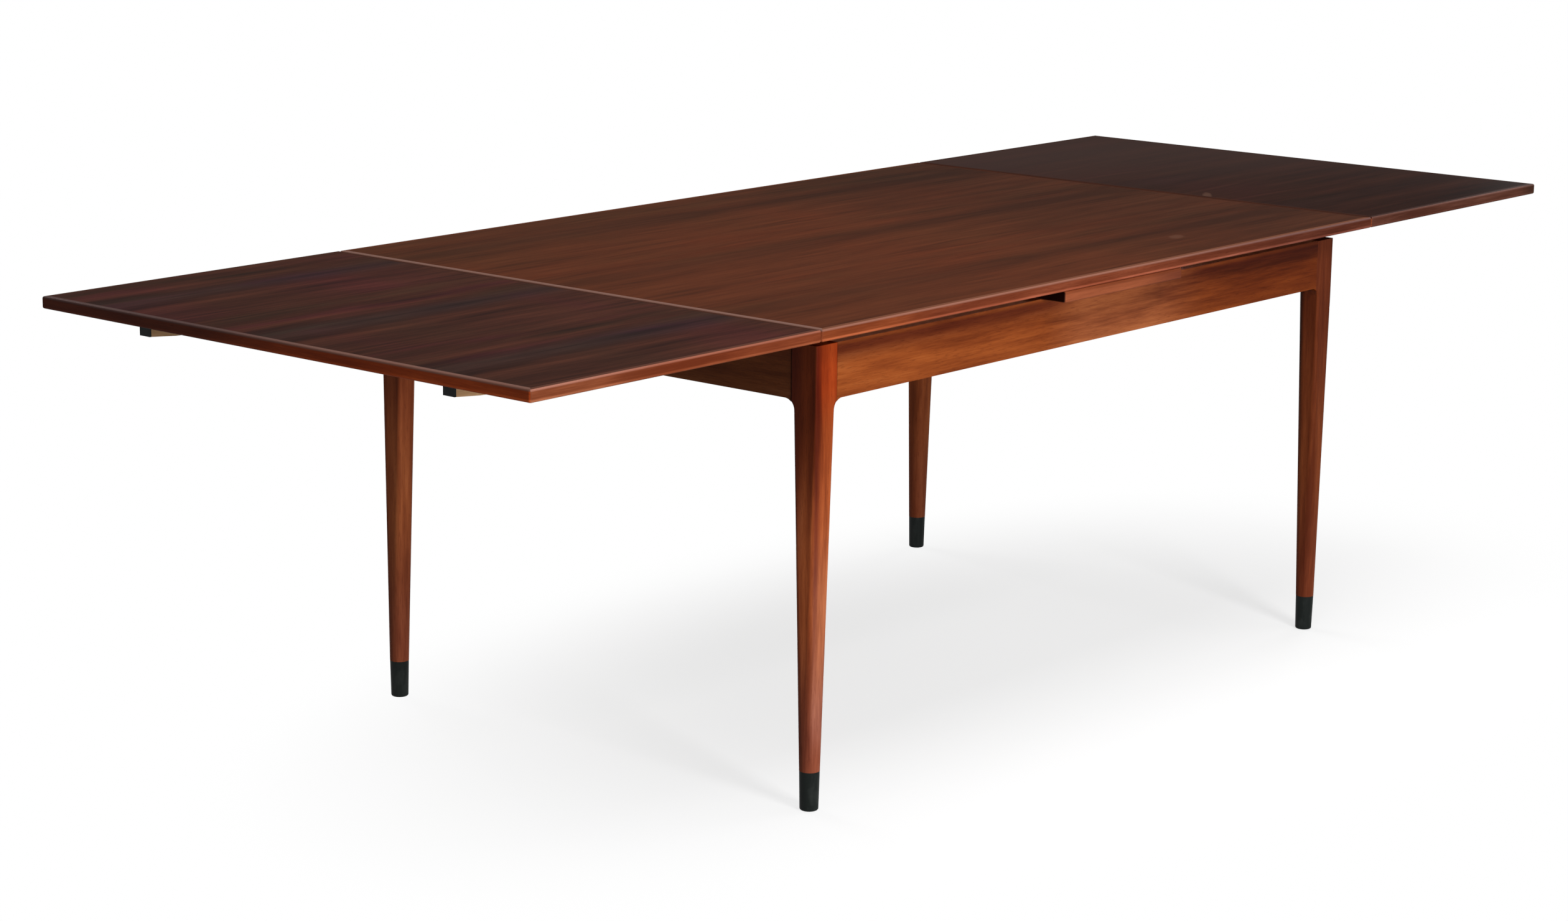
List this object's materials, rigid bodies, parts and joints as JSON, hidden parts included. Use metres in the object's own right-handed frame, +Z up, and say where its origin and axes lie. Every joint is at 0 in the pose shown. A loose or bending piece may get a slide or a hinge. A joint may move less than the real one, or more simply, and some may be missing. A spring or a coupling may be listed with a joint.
{
  "type": "extending dining table",
  "caption": "Rectangular wooden dining table with a loose top, draw leaves drawn out at both ends, tapered bearers and tapered legs with black shoes.",
  "frame": {"origin": "on the floor under the middle of the top", "axes": "+X along the table's length, from the left leaf to the right leaf, +Y from the front long side to the back one, +Z up"},
  "size_m": [2.642, 0.99, 0.73],
  "materials": {
    "leg_timber": "satin oil, warm red-brown",
    "black_shoe": "matt black stain",
    "apron_timber": "satin oil, warm red-brown",
    "inner_timber": "bare timber",
    "bridge_board": "satin oil, warm red-brown",
    "top_veneer": "satin veneer with dark streaks",
    "leaf_veneer": "satin veneer, dark and purplish",
    "lipping_timber": "satin oil",
    "bearer_timber": "bare timber",
    "black_cap": "matt black",
    "peg_timber": "bare timber",
    "screw_metal": "satin"
  },
  "bodies": {
    "frame": {"leg_front_left": "leg_timber", "leg_front_right": "leg_timber", "leg_back_right": "leg_timber", "leg_back_left": "leg_timber", "shoe_front_left": "black_shoe", "shoe_front_right": "black_shoe", "shoe_back_right": "black_shoe", "shoe_back_left": "black_shoe", "apron_front": "apron_timber", "apron_back": "apron_timber", "apron_left": "apron_timber", "apron_right": "apron_timber", "cross_rail_left": "inner_timber", "cross_rail_right": "inner_timber", "corner_blocks": "inner_timber", "centre_bridge": "bridge_board", "bridge_screws": "screw_metal"},
    "top": {"top_panel": "top_veneer", "top_lipping_front": "lipping_timber", "top_lipping_right": "lipping_timber", "top_lipping_back": "lipping_timber", "top_lipping_left": "lipping_timber", "top_pegs": "peg_timber"},
    "leaf_left": {"leaf_left_panel": "leaf_veneer", "leaf_left_lipping_front": "lipping_timber", "leaf_left_lipping_right": "lipping_timber", "leaf_left_lipping_back": "lipping_timber", "leaf_left_lipping_left": "lipping_timber", "bearer_left_front": "bearer_timber", "bearer_left_back": "bearer_timber", "bearer_caps_left": "black_cap", "stop_pegs_left": "peg_timber", "bearer_screws_left": "screw_metal"},
    "leaf_right": {"leaf_right_panel": "leaf_veneer", "leaf_right_lipping_front": "lipping_timber", "leaf_right_lipping_right": "lipping_timber", "leaf_right_lipping_back": "lipping_timber", "leaf_right_lipping_left": "lipping_timber", "bearer_right_front": "bearer_timber", "bearer_right_back": "bearer_timber", "bearer_caps_right": "black_cap", "stop_pegs_right": "peg_timber", "bearer_screws_right": "screw_metal"}
  },
  "joints": [
    {"name": "top_lift", "type": "slide", "parent": "frame", "child": "top", "axis": [0, 0, 1], "range_m": [0, 0.12]},
    {"name": "leaf_left_slide", "type": "slide", "parent": "frame", "child": "leaf_left", "axis": [-0.9995, 0, 0.031], "range_m": [0, 0.004]},
    {"name": "leaf_right_slide", "type": "slide", "parent": "frame", "child": "leaf_right", "axis": [0.9995, 0, 0.031], "range_m": [0, 0.004]}
  ]
}
